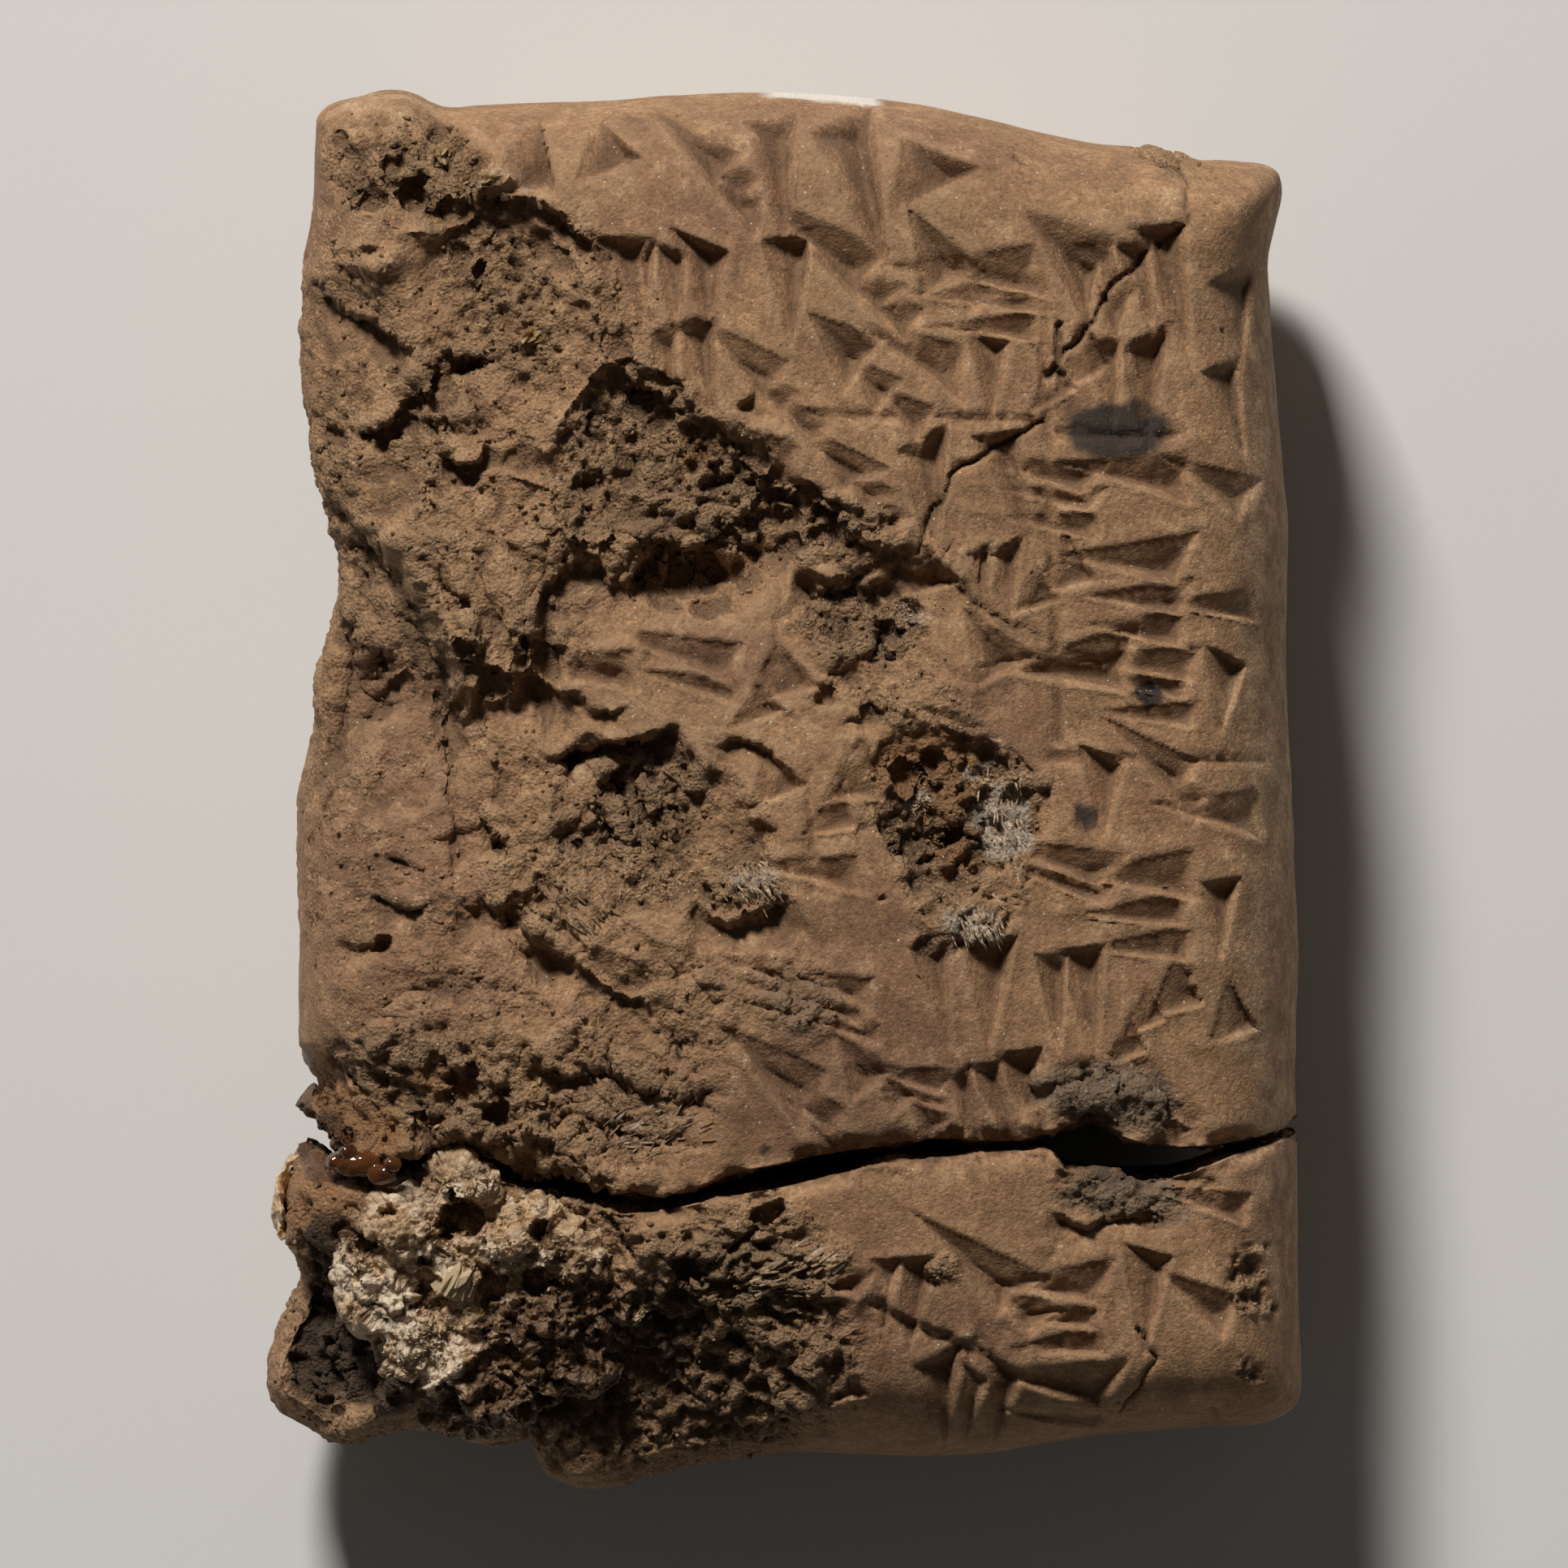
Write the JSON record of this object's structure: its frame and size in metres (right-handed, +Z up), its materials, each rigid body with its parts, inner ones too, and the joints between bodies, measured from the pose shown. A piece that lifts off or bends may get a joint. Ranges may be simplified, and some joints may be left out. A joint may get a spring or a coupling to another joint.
{
  "type": "cuneiform tablet",
  "caption": "Small clay tablet with a worn, written face, broken across into fragments with salt crust in the break, lying on its back.",
  "frame": {"origin": "on the surface the tablet lies on, under the middle of its outline", "axes": "+Z up, out of the written face; +Y to the head of the text; +X to the right of the text"},
  "size_m": [0.0388, 0.052, 0.0176],
  "materials": {
    "tablet_clay": "matte",
    "salt_crystal": "satin",
    "amber_resin": "gloss"
  },
  "bodies": {
    "root": {"upper_fragment": "tablet_clay", "lower_fragment": "tablet_clay", "salt_crust": "salt_crystal", "adhesive_drop": "amber_resin"}
  },
  "joints": []
}
